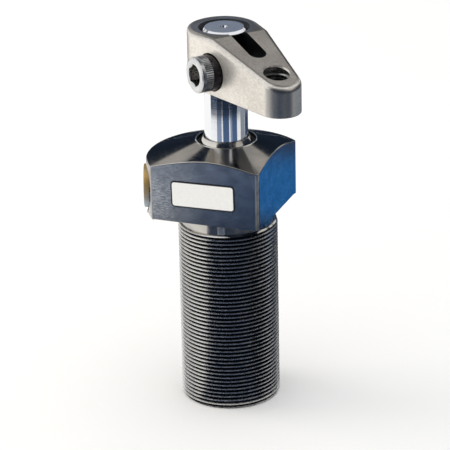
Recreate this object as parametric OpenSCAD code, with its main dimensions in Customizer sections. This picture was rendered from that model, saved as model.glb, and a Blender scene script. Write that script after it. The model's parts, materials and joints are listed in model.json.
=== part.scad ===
// Swing clamp cylinder: a threaded hydraulic body, a turning plunger and a clamp arm
// Millimetres, +Z up, the body's base stands on z = 0 and its axis is the Z axis

/* [Body] */
// Major diameter of the thread on the barrel
thread_d = 50.8; // [49:0.1:56]
// Pitch of the thread on the barrel
thread_pitch = 2.117; // [1.5:0.001:3]
// Length of the barrel below the head
barrel_len = 101.6; // [98:0.2:115]
// Length of the plain neck between the thread and the head
neck_len = 6.4; // [4:0.2:10]
// Diameter of the round part of the head
head_d = 81.8; // [76:0.2:90]
// Height of the head at its rim
rim_h = 28.6; // [27:0.2:34]
// Height of the cone on top of the head
cone_h = 9.2; // [7:0.2:12]
// Diameter of the cone's top edge
collar_d = 31.4; // [30.6:0.2:36]
// Distance from the axis to the front flat and to the right flat
flat_dist = 26.2; // [25:0.1:32]
// Width of the chamfer on the edge between the two flats
edge_chamfer = 1.6; // [0.5:0.1:3]
// Plain length below the first turn of the thread
base_lead = 0.8; // [0.4:0.1:2]

/* [Port] */
// Direction of the port in plan, from +X
port_angle = 200; // [195:1:205]
// Height of the port above the underside of the head
port_up = 13.2; // [12.8:0.1:14]
// Diameter of the adapter's collar
collar_out_d = 22.2; // [20:0.1:23]
// Thickness of the adapter's collar
collar_t = 3.4; // [2.5:0.1:4]
// Major diameter of the female thread in the adapter
port_d = 9.8; // [8:0.1:12]

/* [Hydraulics] */
// Bore of the cylinder
bore_d = 35; // [34:0.5:37]
// Travel of the plunger from unclamped to clamped
stroke = 25; // [18:0.5:26]
// Turn of the arm over the stroke
swing = 90; // [60:1:90]
// Length of the piston
piston_h = 14; // [13:0.5:16]
// Length of the piston nut
nut_h = 7; // [6:0.5:8]
// Thickness of the bottom cap
cap_h = 10; // [9:0.5:12]
// Number of turns of the return spring
spring_turns = 8; // [6:0.5:9]
// Wire diameter of the return spring
wire_d = 3.2; // [2.4:0.1:3.4]

/* [Plunger] */
// Diameter of the plunger's rod
plunger_d = 22.2; // [21:0.1:22.6]
// Diameter of the plunger's grooved tail
tail_d = 16; // [15:0.1:16.4]
// Diameter of the guide balls
ball_d = 5; // [4:0.1:5.4]
// Depth of the rod's top face below the top of the arm
rod_sink = 0; // [0:0.1:2]

/* [Arm] */
// Direction of the arm in plan at rest, from +X
arm_angle = -40.3; // [-60:0.1:0]
// Gap between the cone's top edge and the underside of the arm
arm_gap = 30.4; // [29:0.2:36]
// Height of the arm at the plunger
arm_h = 28.7; // [26:0.1:34]
// Radius of the arm's end round the plunger
end_r = 18.6; // [17.5:0.1:22]
// Radius of the arm's tip
tip_r = 10.3; // [9:0.1:12]
// Distance from the plunger's axis to the centre of the tip
tip_reach = 54.4; // [50:0.2:64]
// Distance from the plunger's axis to the start of the sloped top
slope_start = 15.2; // [13:0.1:18]
// Angle of the sloped top
slope_angle = 15.1; // [8:0.1:18]
// Width of the clamping slot
slot_w = 9.1; // [7:0.1:10]
// Distance from the plunger's axis to the end of the slot
slot_end = 37; // [33:0.1:41]
// Distance from the plunger's axis to the tapped hole in the tip
hole_reach = 51; // [49.5:0.1:54]
// Major diameter of the tapped hole in the tip
hole_d = 12.7; // [8:0.1:13]

/* [Pinch screw] */
// Diameter of the screw's thread
screw_d = 12; // [10:0.1:12.4]
// Diameter of the screw's head
screw_head_d = 18; // [17:0.1:18.6]
// Height of the screw's head
screw_head_h = 12; // [10:0.5:14]
// Width across the flats of the hex socket
socket_af = 10; // [8:0.5:11]
// Depth of the hex socket
socket_depth = 6; // [4:0.5:7]
// Distance from the plunger's axis to the screw's axis, along the arm
screw_along = 15.2; // [14:0.1:16]
// Depth of the screw's axis below the top of the arm
screw_down = 16.6; // [16.2:0.1:17.4]
// Height of the screw's head above the arm's side
head_proud = 9.2; // [5:0.1:9.6]
// Diameter of the recess for the screw's head
recess_d = 19.4; // [19:0.1:21]

/* [Label] */
// Width of the label
label_w = 34; // [20:0.5:38]
// Height of the label
label_h = 13.2; // [8:0.1:16]
// Thickness of the label
label_t = 0.3; // [0.2:0.05:0.6]
// Sideways position of the label's centre
label_x = -3.4; // [-6:0.1:1]
// Height of the label's centre above the underside of the head
label_up = 15.7; // [12:0.1:18]

/* [Hidden] */
$fn = 96;

// Colours as the photo shows them
steel = [0.52, 0.54, 0.57];
chrome = [0.86, 0.88, 0.90];
arm_steel = [0.60, 0.59, 0.57];
screw_steel = [0.44, 0.46, 0.48];
yellow_zinc = [0.66, 0.57, 0.38];
bronze = [0.70, 0.50, 0.26];
dark_rubber = [0.08, 0.08, 0.09];
polymer = [0.30, 0.32, 0.30];
white_plate = [0.93, 0.93, 0.92];

// Overshoot of a cut past the face it opens
eps = 0.5;
// Radial gap of a running fit, and of a piece set in its seat
run_gap = 0.05;
seat_gap = 0.01;

thread_r = thread_d / 2;
head_r = head_d / 2;
collar_r = collar_d / 2;
neck_cut = 1.3;
neck_r = thread_r - neck_cut;
bore_r = bore_d / 2;
rod_r = plunger_d / 2;
tail_r = tail_d / 2;
ball_r = ball_d / 2;
screw_r = screw_d / 2;

// Heights of the body
neck_z = barrel_len - neck_len;
rim_z = barrel_len + rim_h;
cone_z = rim_z + cone_h;
port_z = barrel_len + port_up;

// Profile of the thread, which is drawn as rings at its pitch, counted down from the neck
thread_flank = 0.3125 * thread_pitch;
thread_land = 0.125 * thread_pitch;
thread_rise = 2 * thread_flank + thread_land;
root_r = thread_r - 0.541 * thread_pitch;
thread_end = neck_z + thread_flank;
thread_turns = floor((thread_end - base_lead - thread_rise) / thread_pitch);
thread_z = thread_end - thread_turns * thread_pitch - thread_rise;

// Heights in the gland, from the end of the cylinder bore up
lip_h = 2;
gland_z = port_z + 4.2;
bush_z = gland_z + lip_h;
ring_depth = 4.4;
ring_z = cone_z - ring_depth;
seal_h = 5.4;
seal_z = ring_z - seal_h - 0.3;
bush_h = seal_z - bush_z;
bush_r = rod_r + 2.9;
ring_r = collar_r - 0.8;
ring_lip_r = rod_r + 2;
ring_lip_z = cone_z + 1.8;
ring_in_r = rod_r + 0.35;
ring_web = 0.9;
lip_chamfer = 0.2;
wiper_h = 2.5;
wiper_r = ring_r - 1.4;
seal_notch = 2.4;

// Heights of the moving pieces at rest, with the plunger raised
piston_top = port_z - 3.8;
piston_z = piston_top - piston_h;
nut_z = piston_z - nut_h;
seat_h = 4;
seat_z = piston_z - seat_h - 0.05;
seat_clear = 4.4;
seat_in_r = tail_r + seat_clear;
shank_r = tail_r + 1;
piston_r = bore_r - run_gap;

// Grooves of the piston: the seal's above, the wear ring's below
fit_gap = 0.05;
seal_groove_h = 4.4;
seal_groove_r = piston_r - 3;
seal_groove_z = piston_top - 2.2 - seal_groove_h;
wear_groove_h = 3.2;
wear_groove_r = piston_r - 1.5;
wear_groove_z = piston_z + 2;

// The guide sleeve stands in the bottom cap and ends below the nut's lowest position
cap_r = bore_r + 2.5;
cap_groove_h = 2;
cap_groove_r = cap_r - 2.1;
cap_groove_z = cap_h - 1.2 - cap_groove_h;
spanner_r = 2.2;
spanner_depth = 4;
vent_r = 1;
breather_r = 2.6;
breather_h = 4.4;
breather_sink = 0.5;
sleeve_z = cap_h / 2;
sleeve_top = nut_z - stroke - 3;
sleeve_r = tail_r + 3.5;
band_t = 0.8;
cap_hole_at = (sleeve_r + cap_r) / 2 - 0.5;
tail_z = sleeve_z + stroke + 3;
ball_drop = 12;
ball_z = sleeve_top - ball_drop;
ball_at = tail_r + 0.6;
ball_count = 3;

// The grooves turn the plunger by the swing over the stroke
groove_r = ball_r + 0.5;
groove_end = ball_r + 0.7;
groove_h = stroke + 2 * groove_end;
groove_twist = swing * groove_h / stroke;

// The return spring between the cap and its seat
spring_z = cap_h;
spring_h = seat_z - spring_z;
wire_r = wire_d / 2;
spring_r = (sleeve_r + band_t + bore_r) / 2;
spring_lead = spring_h / spring_turns;
wire_half_angle = 360 * wire_r / spring_lead;
wire_steps = 8;

// Heights and edges of the arm
arm_z = cone_z + arm_gap;
arm_top = arm_z + arm_h;
rod_top = arm_top - rod_sink;
rod_lead = 1.2;
arm_bore_r = rod_r + 0.02;
taper = asin((end_r - tip_r) / tip_reach);
slot_r = slot_w / 2;
screw_z = arm_top - screw_down;
recess_r = recess_d / 2;
side_y = end_r / cos(taper) - screw_along * tan(taper);
screw_face_y = side_y + head_proud;
screw_seat_y = screw_face_y - screw_head_h;
screw_end_y = side_y - 2.5;
rod_groove_r = min(rod_r - 0.5, screw_along - screw_r - 0.25);
rod_groove_half = screw_r + 0.6;

// The port adapter along its own axis, outward from the body's axis
port_face = head_r - 2.1;
port_shank_r = collar_out_d / 2 - 2.8;
port_depth = 12;
port_shank_len = 10.3;
port_floor = 1.5;
oil_r = 3;
spot_r = collar_out_d / 2 + 1.6;
port_seal_h = 1.2;
port_seal_r = port_shank_r + 1.9;

module along_port(from, length, radius) {
    rotate([0, 0, port_angle])
        translate([from, 0, port_z])
            rotate([0, 90, 0])
                cylinder(h = length, r = radius);
}

module tube(z, height, outer, inner) {
    translate([0, 0, z])
        difference() {
            cylinder(h = height, r = outer);
            translate([0, 0, -eps])
                cylinder(h = height + 2 * eps, r = inner);
        }
}

// Outline of one turn of the thread, from the base up
function thread_turn(i) =
    let (z = thread_z + i * thread_pitch)
    [
        [root_r, z],
        [thread_r, z + thread_flank],
        [thread_r, z + thread_flank + thread_land],
        [root_r, z + thread_rise]
    ];

// The turned outline of the body before it is milled and bored
module body_blank() {
    head = [
        [neck_r, thread_end + thread_land],
        [neck_r, barrel_len],
        [head_r - 0.6, barrel_len],
        [head_r, barrel_len + 0.6],
        [head_r, rim_z],
        [collar_r, cone_z],
        [0, cone_z]
    ];
    rotate_extrude()
        polygon(concat(
            [[0, 0], [root_r, 0]],
            [for (i = [0:thread_turns]) each thread_turn(i)],
            head
        ));
}

// Everything the mill takes off the head: two flats and the edge between them
module head_flats() {
    reach = 2 * head_r;
    cut_h = cone_z - barrel_len + 2 * eps;
    corner = (2 * flat_dist - edge_chamfer) / sqrt(2);
    translate([0, 0, barrel_len - eps]) {
        translate([-reach, -flat_dist - reach, 0])
            cube([2 * reach, reach, cut_h]);
        translate([flat_dist, -reach, 0])
            cube([reach, 2 * reach, cut_h]);
        rotate([0, 0, -45])
            translate([corner, -reach, 0])
                cube([reach, 2 * reach, cut_h]);
    }
}

module body() {
    color(steel)
        difference() {
            body_blank();
            head_flats();
            translate([0, 0, -eps])
                cylinder(h = cap_h + eps, r = cap_r);
            translate([0, 0, cap_h - eps])
                cylinder(h = gland_z - cap_h + eps, r = bore_r);
            translate([0, 0, gland_z - eps])
                cylinder(h = lip_h + 2 * eps, r = rod_r + 0.5);
            translate([0, 0, bush_z])
                cylinder(h = ring_z - bush_z + eps, r = bush_r);
            translate([0, 0, ring_z])
                cylinder(h = cone_z - ring_z + eps, r = ring_r);
            along_port(bore_r - eps, port_face - bore_r, oil_r);
            along_port(port_face - port_depth, port_depth + eps, port_shank_r);
            along_port(port_face, head_r, spot_r);
        }
}

// Bright ring that closes the gland and holds the wiper under its lip
module gland_ring() {
    pocket_z = ring_z + wiper_h + 2 * fit_gap;
    step_z = pocket_z + ring_web;
    out_r = ring_r - seat_gap;
    color(chrome)
        rotate_extrude()
            polygon([
                [wiper_r, ring_z + seat_gap],
                [out_r, ring_z + seat_gap],
                [out_r, step_z],
                [ring_lip_r, step_z],
                [ring_lip_r, ring_lip_z - lip_chamfer],
                [ring_lip_r - lip_chamfer, ring_lip_z],
                [ring_in_r + lip_chamfer, ring_lip_z],
                [ring_in_r, ring_lip_z - lip_chamfer],
                [ring_in_r, pocket_z],
                [wiper_r, pocket_z]
            ]);
}

module wiper() {
    color(dark_rubber)
        tube(ring_z + fit_gap, wiper_h, wiper_r - fit_gap, rod_r + run_gap);
}

// Lipped seal, its groove open to the pressure below
module rod_seal() {
    in_r = rod_r + run_gap;
    out_r = bush_r - seat_gap;
    mid_r = (in_r + out_r) / 2;
    color(polymer)
        rotate_extrude()
            polygon([
                [in_r, seal_z],
                [mid_r - seal_notch / 4, seal_z],
                [mid_r, seal_z + seal_notch],
                [mid_r + seal_notch / 4, seal_z],
                [out_r, seal_z],
                [out_r, seal_z + seal_h],
                [in_r, seal_z + seal_h]
            ]);
}

module rod_bush() {
    color(bronze)
        tube(bush_z, bush_h - fit_gap, bush_r - seat_gap, rod_r + run_gap);
}

// Collared reducing bush, open to a hose fitting, with a seat for its seal under the collar
module port_adapter() {
    tail = port_face - port_shank_len;
    shank_out = port_shank_r - seat_gap;
    color(yellow_zinc)
        difference() {
            union() {
                along_port(port_face + port_seal_h, collar_t - port_seal_h, collar_out_d / 2);
                difference() {
                    along_port(port_face + seat_gap, port_seal_h, collar_out_d / 2);
                    along_port(port_face - eps, port_seal_h + 2 * eps, port_seal_r);
                }
                along_port(tail, port_shank_len + port_seal_h + eps, shank_out);
            }
            along_port(tail + port_floor, port_shank_len + collar_t, port_d / 2);
            along_port(tail - eps, port_shank_len, oil_r - eps);
        }
}

module port_seal() {
    color(dark_rubber)
        difference() {
            along_port(port_face + seat_gap, port_seal_h - 2 * seat_gap, port_seal_r - fit_gap);
            along_port(port_face - eps, port_seal_h + 2 * eps, port_shank_r + fit_gap);
        }
}

// Screwed plug with two spanner holes, a seat for the sleeve and a vent
module bottom_cap() {
    color(steel)
        difference() {
            cylinder(h = cap_h - seat_gap, r = cap_r - seat_gap);
            translate([0, 0, sleeve_z])
                cylinder(h = cap_h, r = sleeve_r);
            for (side = [-1, 1])
                translate([side * cap_hole_at, 0, -eps])
                    cylinder(h = spanner_depth + eps, r = spanner_r);
            translate([0, -cap_hole_at, -eps])
                cylinder(h = breather_sink + breather_h + eps, r = breather_r);
            translate([0, -cap_hole_at, 0])
                cylinder(h = cap_h + eps, r = vent_r);
            tube(cap_groove_z, cap_groove_h, cap_r + eps, cap_groove_r);
        }
}

module cap_seal() {
    color(dark_rubber)
        tube(cap_groove_z + fit_gap, cap_groove_h - 2 * fit_gap, cap_r - seat_gap, cap_groove_r + fit_gap);
}

module breather() {
    color(bronze)
        translate([0, -cap_hole_at, breather_sink])
            cylinder(h = breather_h - seat_gap, r = breather_r - seat_gap);
}

module ball_places() {
    for (i = [0:ball_count - 1])
        rotate([0, 0, 360 / ball_count * i])
            translate([ball_at, 0, ball_z])
                children();
}

module guide_sleeve() {
    color(steel)
        difference() {
            tube(sleeve_z, sleeve_top - sleeve_z, sleeve_r - seat_gap, tail_r + run_gap);
            ball_places()
                translate([-ball_r, 0, 0])
                    rotate([0, 90, 0])
                        cylinder(h = 4 * ball_r, r = ball_r + 0.03);
        }
}

module guide_balls() {
    color(chrome)
        ball_places()
            sphere(r = ball_r);
}

module ball_band() {
    color(steel)
        tube(ball_z - ball_r - band_t, 2 * (ball_r + band_t), sleeve_r + band_t, sleeve_r);
}

// Level section through the coil's wire, which a twist turns into the coil
function wire_width(t) = sqrt(max(0, 1 - t * t)) * wire_r;
function wire_point(t, side) =
    let (r = spring_r + side * wire_width(t), a = t * wire_half_angle)
    [r * cos(a), r * sin(a)];

module return_spring() {
    outer = [for (i = [0:wire_steps]) wire_point(2 * i / wire_steps - 1, 1)];
    inner = [for (i = [1:wire_steps - 1]) wire_point(1 - 2 * i / wire_steps, -1)];
    color(steel)
        translate([0, 0, spring_z + 0.02])
            linear_extrude(height = spring_h - 0.04, twist = -360 * spring_turns,
                slices = ceil(18 * spring_turns), $fn = 16)
                polygon(concat(outer, inner));
}

module spring_seat() {
    color(steel)
        tube(seat_z, seat_h, bore_r - 0.4, seat_in_r);
}

// Helical groove for one ball, cut past both ends of its travel
module ball_groove() {
    translate([0, 0, ball_z - groove_end])
        rotate([0, 0, -swing * groove_end / stroke])
            linear_extrude(height = groove_h, twist = -groove_twist, slices = 24, $fn = 20)
                translate([ball_at, 0])
                    circle(r = groove_r, $fn = 20);
}

module plunger() {
    color(chrome)
        difference() {
            rotate_extrude()
                polygon([
                    [0, tail_z],
                    [tail_r - 0.8, tail_z],
                    [tail_r, tail_z + 0.8],
                    [tail_r, nut_z - 1],
                    [shank_r, nut_z],
                    [shank_r, piston_top],
                    [rod_r, piston_top],
                    [rod_r, screw_z - rod_groove_half],
                    [rod_groove_r, screw_z - rod_groove_half],
                    [rod_groove_r, screw_z + rod_groove_half],
                    [rod_r, screw_z + rod_groove_half],
                    [rod_r, rod_top - rod_lead],
                    [rod_r - rod_lead, rod_top],
                    [2, rod_top],
                    [0, rod_top - 1.6]
                ]);
            for (i = [0:ball_count - 1])
                rotate([0, 0, 360 / ball_count * i])
                    ball_groove();
        }
}

module piston() {
    color(steel)
        difference() {
            tube(piston_z, piston_h - seat_gap, piston_r, shank_r + seat_gap);
            tube(seal_groove_z, seal_groove_h, piston_r + eps, seal_groove_r);
            tube(wear_groove_z, wear_groove_h, piston_r + eps, wear_groove_r);
        }
}

module piston_seal() {
    color(polymer)
        tube(seal_groove_z + fit_gap, seal_groove_h - 2 * fit_gap, piston_r, seal_groove_r + seat_gap);
}

module wear_ring() {
    color(bronze)
        tube(wear_groove_z + fit_gap, wear_groove_h - 2 * fit_gap, piston_r, wear_groove_r + seat_gap);
}

module piston_nut() {
    across = 2 * shank_r + 2;
    color(steel)
        difference() {
            translate([0, 0, nut_z + seat_gap])
                cylinder(h = nut_h - 2 * seat_gap, d = across / cos(30), $fn = 6);
            translate([0, 0, nut_z - eps])
                cylinder(h = nut_h + 2 * eps, r = shank_r + seat_gap);
        }
}

// Plan of the arm: two rounds and the tangent sides between them
module arm_plan(height) {
    sx = sin(taper);
    cx = cos(taper);
    cylinder(h = height, r = end_r);
    translate([tip_reach, 0, 0])
        cylinder(h = height, r = tip_r);
    linear_extrude(height = height)
        polygon([
            [end_r * sx, end_r * cx],
            [end_r * sx, -end_r * cx],
            [tip_reach + tip_r * sx, -tip_r * cx],
            [tip_reach + tip_r * sx, tip_r * cx]
        ]);
}

module across_arm(from_y, to_y, radius) {
    translate([screw_along, from_y, screw_z])
        rotate([-90, 0, 0])
            cylinder(h = to_y - from_y, r = radius);
}

module clamp_arm() {
    long = 2 * (tip_reach + end_r);
    color(arm_steel)
        rotate([0, 0, arm_angle])
            difference() {
                translate([0, 0, arm_z])
                    arm_plan(arm_h);
                translate([slope_start, -long / 2, arm_top])
                    rotate([0, slope_angle, 0])
                        cube([long, long, arm_h]);
                translate([0, 0, arm_z - eps])
                    cylinder(h = arm_h + 2 * eps, r = arm_bore_r);
                translate([0, 0, arm_top - 1])
                    cylinder(h = 1.5, r1 = arm_bore_r, r2 = arm_bore_r + 1.5);
                translate([0, -slot_r, arm_z - eps])
                    cube([slot_end - slot_r, slot_w, arm_h + 2 * eps]);
                translate([slot_end - slot_r, 0, arm_z - eps])
                    cylinder(h = arm_h + 2 * eps, r = slot_r);
                translate([hole_reach, 0, arm_z - eps])
                    cylinder(h = arm_h + 2 * eps, d = hole_d);
                across_arm(-long / 2, -screw_seat_y, recess_r);
                across_arm(-screw_seat_y - eps, 0, screw_r + 0.4);
                across_arm(0, long / 2, screw_r + 0.03);
            }
}

module pinch_screw() {
    color(screw_steel)
        rotate([0, 0, arm_angle])
            difference() {
                union() {
                    across_arm(-screw_face_y + 0.6, -screw_seat_y - seat_gap, screw_head_d / 2);
                    translate([screw_along, -screw_face_y, screw_z])
                        rotate([-90, 0, 0])
                            cylinder(h = 0.6, r1 = screw_head_d / 2 - 0.6, r2 = screw_head_d / 2);
                    across_arm(-screw_seat_y - eps, screw_end_y, screw_r);
                }
                translate([screw_along, -screw_face_y - eps, screw_z])
                    rotate([-90, 0, 0])
                        rotate([0, 0, 30])
                            cylinder(h = socket_depth + eps, d = socket_af / cos(30), $fn = 6);
            }
}

module label() {
    corner_r = 2;
    color(white_plate)
        translate([label_x, -flat_dist - seat_gap, barrel_len + label_up])
            rotate([90, 0, 0])
                linear_extrude(height = label_t) {
                    square([label_w - 2 * corner_r, label_h], center = true);
                    square([label_w, label_h - 2 * corner_r], center = true);
                    for (sx = [-1, 1], sy = [-1, 1])
                        translate([sx * (label_w / 2 - corner_r), sy * (label_h / 2 - corner_r)])
                            circle(r = corner_r);
                }
}

body();
gland_ring();
wiper();
rod_seal();
rod_bush();
port_adapter();
port_seal();
bottom_cap();
cap_seal();
breather();
guide_sleeve();
guide_balls();
ball_band();
return_spring();
spring_seat();
plunger();
piston();
piston_seal();
wear_ring();
piston_nut();
clamp_arm();
pinch_screw();
label();
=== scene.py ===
import json
import math

import bpy
from mathutils import Matrix, Vector


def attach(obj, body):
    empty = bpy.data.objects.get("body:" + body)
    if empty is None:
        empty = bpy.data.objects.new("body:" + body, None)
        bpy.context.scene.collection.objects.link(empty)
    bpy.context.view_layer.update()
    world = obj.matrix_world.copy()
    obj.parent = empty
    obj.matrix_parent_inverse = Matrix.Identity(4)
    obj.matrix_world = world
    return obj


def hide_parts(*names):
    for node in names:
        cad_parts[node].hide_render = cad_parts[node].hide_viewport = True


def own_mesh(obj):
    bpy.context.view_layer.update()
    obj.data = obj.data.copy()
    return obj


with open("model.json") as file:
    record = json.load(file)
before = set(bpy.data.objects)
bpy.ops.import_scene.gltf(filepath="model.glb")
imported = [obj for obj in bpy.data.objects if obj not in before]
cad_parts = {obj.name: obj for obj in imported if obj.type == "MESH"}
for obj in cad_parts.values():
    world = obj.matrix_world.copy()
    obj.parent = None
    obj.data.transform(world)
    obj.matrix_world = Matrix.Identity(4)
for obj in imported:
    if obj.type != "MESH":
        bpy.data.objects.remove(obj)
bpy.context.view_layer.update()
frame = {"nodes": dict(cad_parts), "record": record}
nodes = frame["nodes"]
scene = bpy.context.scene
scene.view_settings.view_transform = "Standard"
mm = 0.001
print("frame loaded,", len(nodes), "nodes")

# points closer than these are joined, in metres
weld = {"cut": 2e-6, "turned": 1e-6, "sliced": 1e-7}
# the tooth of a thread, in shares of its pitch
threadForm = {"depth": 0.541, "flank": 0.3125, "crest": 0.125}


# modelling helpers

def restNow():
    if bpy.context.object and bpy.context.object.mode != "OBJECT":
        bpy.ops.object.mode_set(mode="OBJECT")
    bpy.ops.object.select_all(action="DESELECT")


def makeActive(piece):
    restNow()
    piece.select_set(True)
    bpy.context.view_layer.objects.active = piece


def rod(name, radius, low, high, sides=96):
    restNow()
    bpy.ops.mesh.primitive_cylinder_add(vertices=sides, radius=radius * mm, depth=(high - low) * mm,
                                        location=(0, 0, (high + low) / 2 * mm))
    piece = bpy.context.object
    piece.name = piece.data.name = name
    bpy.ops.object.transform_apply(location=True, rotation=True, scale=True)
    return piece


def editOn(piece, kind="FACE"):
    makeActive(piece)
    bpy.ops.object.mode_set(mode="EDIT")
    bpy.ops.mesh.select_mode(type=kind)


def pickAll(piece, kind="FACE"):
    editOn(piece, kind)
    bpy.ops.mesh.select_all(action="SELECT")


def pickFaces(piece, test):
    editOn(piece, "FACE")
    bpy.ops.mesh.select_all(action="DESELECT")
    bpy.ops.object.mode_set(mode="OBJECT")
    for face in piece.data.polygons:
        face.select = test(face)
    bpy.ops.object.mode_set(mode="EDIT")


def pickEdges(piece, test):
    editOn(piece, "EDGE")
    bpy.ops.mesh.select_all(action="DESELECT")
    bpy.ops.object.mode_set(mode="OBJECT")
    spots = piece.data.vertices
    for edge in piece.data.edges:
        edge.select = test(spots[edge.vertices[0]].co / mm, spots[edge.vertices[1]].co / mm)
    bpy.ops.object.mode_set(mode="EDIT")


def sliceOff(piece, point, normal):
    pickAll(piece)
    bpy.ops.mesh.bisect(plane_co=[v * mm for v in point], plane_no=normal, use_fill=True,
                        clear_outer=True, threshold=weld["sliced"])
    restNow()


def applyLast(piece):
    makeActive(piece)
    bpy.ops.object.modifier_apply(modifier=piece.modifiers[-1].name)


def carve(piece, tool, how="DIFFERENCE"):
    makeActive(piece)
    cutter = piece.modifiers.new("carve", "BOOLEAN")
    cutter.operation = how
    cutter.object = tool
    cutter.solver = "EXACT"
    applyLast(piece)
    bpy.data.objects.remove(tool)


def easeEdges(piece, width, steps=2, angle=35, clamp=True):
    bevel = piece.modifiers.new("ease", "BEVEL")
    bevel.width = width * mm
    bevel.segments = steps
    bevel.limit_method = "ANGLE"
    bevel.angle_limit = math.radians(angle)
    bevel.use_clamp_overlap = clamp
    applyLast(piece)


# merges the tiny edges that cuts leave, and closes the pin holes between them
def cleanCuts(piece, holeSides=8):
    pickAll(piece, "VERT")
    bpy.ops.mesh.remove_doubles(threshold=weld["cut"])
    bpy.ops.mesh.dissolve_degenerate(threshold=weld["cut"])
    bpy.ops.mesh.select_all(action="SELECT")
    bpy.ops.mesh.fill_holes(sides=holeSides)
    restNow()


def smoothBy(piece, angle=30):
    makeActive(piece)
    bpy.ops.object.shade_smooth_by_angle(angle=math.radians(angle))


# flat faces keep their own shading beside small rounds and cuts
def evenShading(piece, angle=30):
    smoothBy(piece, angle)
    even = piece.modifiers.new("even", "WEIGHTED_NORMAL")
    even.keep_sharp = True
    even.weight = 90
    applyLast(piece)


def placeAt(piece, matrix):
    makeActive(piece)
    piece.matrix_world = matrix
    bpy.ops.object.transform_apply(location=True, rotation=True, scale=True)


# a single point in edit mode, from which a profile is drawn
def startPoint(name, radius, height):
    restNow()
    bpy.ops.mesh.primitive_plane_add(size=mm)
    piece = bpy.context.object
    piece.name = piece.data.name = name
    bpy.ops.object.mode_set(mode="EDIT")
    bpy.ops.mesh.select_mode(type="VERT")
    bpy.ops.mesh.select_all(action="SELECT")
    bpy.ops.mesh.merge(type="CENTER")
    bpy.ops.transform.translate(value=(radius * mm, 0, height * mm))
    return piece


# draws on from what is picked, in metres
def drawOn(across, up):
    bpy.ops.mesh.extrude_region_move(TRANSFORM_OT_translate={"value": (across, 0, up)})


def spinAll(steps, angle):
    bpy.ops.mesh.select_all(action="SELECT")
    bpy.ops.mesh.spin(steps=steps, angle=angle, center=(0, 0, 0), axis=(0, 0, 1))


# a solid of revolution: the profile is drawn point by point and spun about Z
def turned(name, profile, sides=96):
    piece = startPoint(name, *profile[0])
    for (r0, z0), (r1, z1) in zip(profile, profile[1:]):
        drawOn((r1 - r0) * mm, (z1 - z0) * mm)
    spinAll(sides, 2 * math.pi)
    bpy.ops.mesh.select_all(action="SELECT")
    bpy.ops.mesh.remove_doubles(threshold=weld["turned"])
    bpy.ops.mesh.normals_make_consistent(inside=False)
    restNow()
    return piece


# a helical thread as a solid bar: one tooth, repeated and screwed through a full turn
def threadBar(name, crest, pitch, low, high, sides=96):
    spare = 3  # turns past each end, sliced off again
    depth, flank, top = (threadForm[key] * pitch for key in ("depth", "flank", "crest"))
    piece = startPoint(name, crest - depth, low - spare * pitch)
    for across, up in ((depth, flank), (0, top), (-depth, flank), (0, pitch - 2 * flank - top)):
        drawOn(across * mm, up * mm)
    restNow()
    teeth = piece.modifiers.new("teeth", "ARRAY")
    teeth.count = math.ceil((high - low) / pitch) + 2 * spare
    teeth.use_relative_offset = False
    teeth.use_constant_offset = True
    teeth.constant_offset_displace = (0, 0, pitch * mm)
    teeth.use_merge_vertices = True
    teeth.merge_threshold = weld["turned"]
    applyLast(piece)
    helix = piece.modifiers.new("helix", "SCREW")
    helix.axis = "Z"
    helix.angle = 2 * math.pi
    helix.screw_offset = pitch * mm
    helix.steps = helix.render_steps = sides
    applyLast(piece)
    pickAll(piece)
    bpy.ops.mesh.remove_doubles(threshold=weld["cut"])
    restNow()
    sliceOff(piece, (0, 0, high), (0, 0, 1))
    sliceOff(piece, (0, 0, low), (0, 0, -1))
    pickAll(piece)
    bpy.ops.mesh.remove_doubles(threshold=weld["sliced"])
    bpy.ops.mesh.normals_make_consistent(inside=False)
    restNow()
    return piece


# body: threaded barrel, neck, flatted head with a cone top
bodySizes = {
    "thread": 25.4, "pitch": 2.117, "base": 0.0, "neckLow": 95.2, "neck": 24.1, "shoulder": 101.6,
    "head": 40.9, "rim": 130.2, "cone": 139.4, "collar": 15.7, "flat": 26.2, "edge": 1.6,
    "chamfer": 0.6, "ease": 0.5,
    "bore": 17.5, "boreTop": 119.0, "rodHole": 11.6, "bush": 14.0, "bushLow": 121.0,
    "ringSeat": 14.9, "ringLow": 135.0, "capSeat": 20.0, "capTop": 10.0,
    "portAngle": 200.0, "portHeight": 114.8, "portFace": 38.8, "spot": 12.7, "portBore": 8.3,
    # the bright bead: out from the collar and up from the cone's top
    "bead": [(-0.6, -0.4), (0.3, -0.4), (0.2, -0.08), (-0.2, 0.32), (-0.45, 0.32), (-0.6, 0.17), (-0.6, -0.4)],
}


def portPlace(s):
    turn = Matrix.Rotation(math.radians(s["portAngle"]), 4, "Z")
    return turn @ Matrix.Translation((0, 0, s["portHeight"] * mm)) @ Matrix.Rotation(math.radians(90), 4, "Y")


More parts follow.
